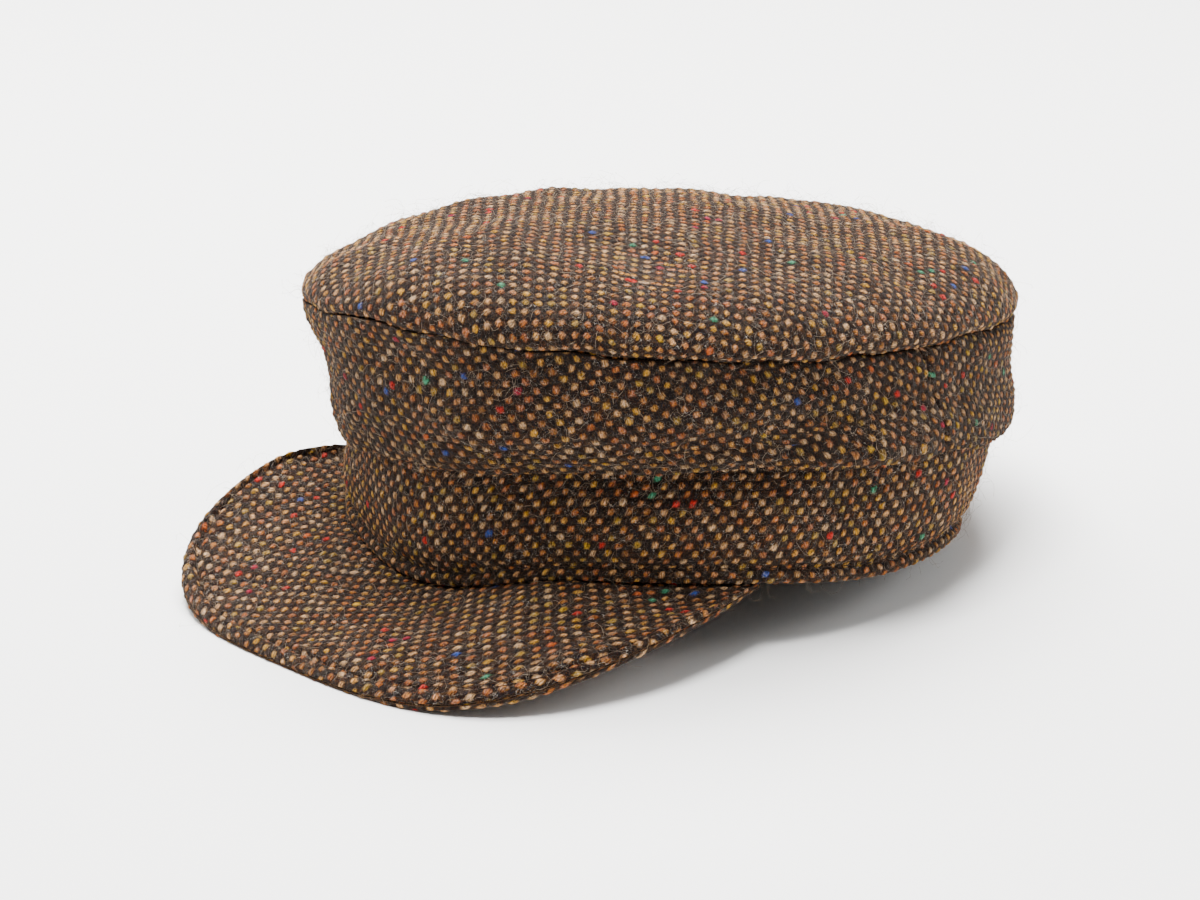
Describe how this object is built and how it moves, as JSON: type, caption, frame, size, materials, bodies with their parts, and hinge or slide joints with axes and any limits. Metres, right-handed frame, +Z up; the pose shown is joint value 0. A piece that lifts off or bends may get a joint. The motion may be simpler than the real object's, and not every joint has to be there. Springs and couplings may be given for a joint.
{
  "type": "skipper cap",
  "caption": "Soft tweed skipper cap: domed oval crown, sagging side panel, upright headband and a sloping peak, open below for the head.",
  "frame": {"origin": "on the floor under the middle of the cap's box", "axes": "+Z up, the peak points to -Y, the wearer's left is +X"},
  "size_m": [0.1918, 0.2654, 0.1107],
  "materials": {
    "tweed_band": "chunky woollen tweed, nubbly plain weave with coloured flecks",
    "tweed_side": "chunky woollen tweed, nubbly plain weave with coloured flecks",
    "tweed_top": "chunky woollen tweed, nubbly plain weave with coloured flecks",
    "tweed_peak": "chunky woollen tweed, nubbly plain weave with coloured flecks"
  },
  "bodies": {
    "root": {"headband": "tweed_band", "side_panel_front": "tweed_side", "side_panel_back": "tweed_side", "crown_top": "tweed_top", "peak_upper": "tweed_peak", "peak_under": "tweed_peak"}
  },
  "joints": []
}
